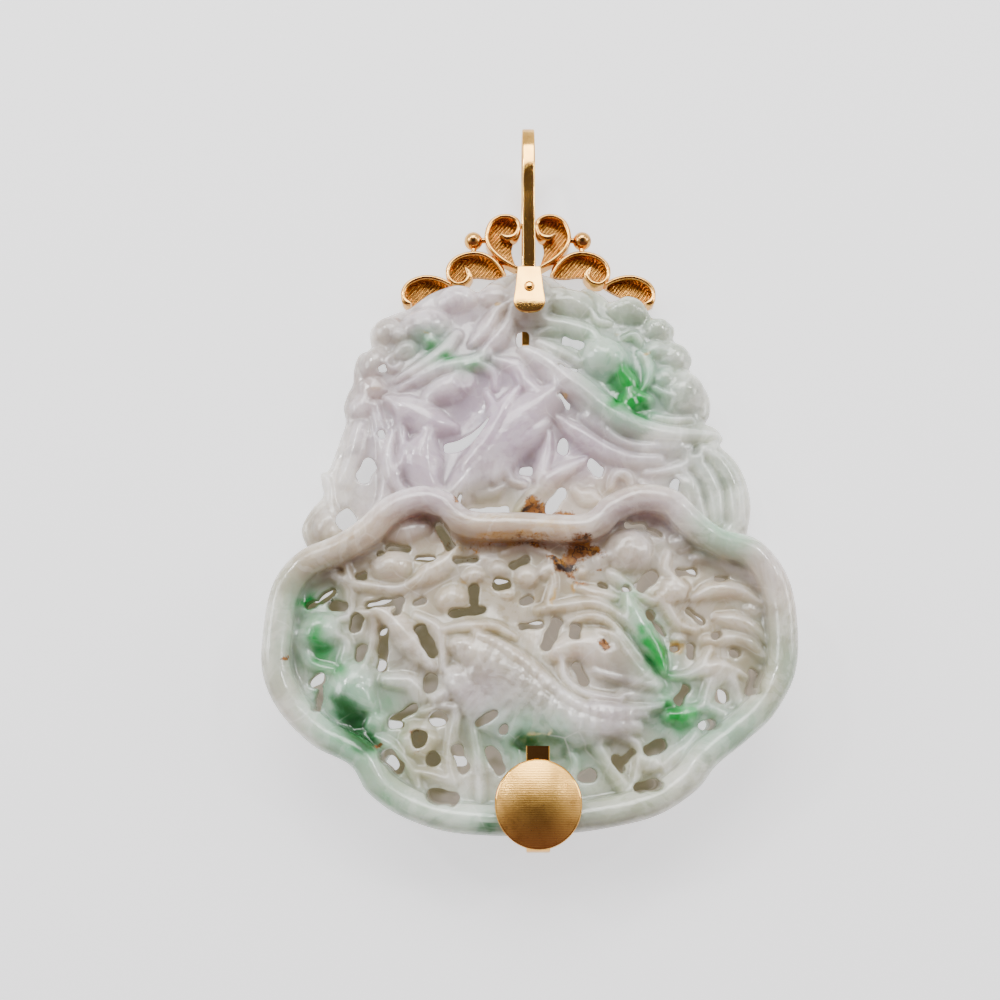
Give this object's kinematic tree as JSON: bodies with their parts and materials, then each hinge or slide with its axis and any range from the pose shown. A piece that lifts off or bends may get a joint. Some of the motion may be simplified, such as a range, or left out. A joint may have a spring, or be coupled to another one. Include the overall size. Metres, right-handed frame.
{
  "type": "carved jade pendant with gold bail",
  "caption": "Hollow openwork jade carving shaped as a pouch below a plaque of phoenix, peony and clouds, with a scroll gallery, strip bail and rim clip in gold.",
  "frame": {"origin": "centre of the bounding box's underside, on the carving's flat back", "axes": "+X across the carving, +Y up the carving towards the bail, +Z out of its carved face; it lies on its back"},
  "size_m": [0.0593, 0.0886, 0.0135],
  "materials": {
    "jade": "polished, waxy and translucent, lavender grey with celadon and emerald patches",
    "gold": "polished warm yellow gold, darker in the scroll floors, with fine ribs on the button"
  },
  "bodies": {
    "root": {"jade_carving": "jade", "scroll_gallery": "gold", "bail": "gold", "rivet": "gold", "rim_clip": "gold", "button": "gold"}
  },
  "joints": []
}
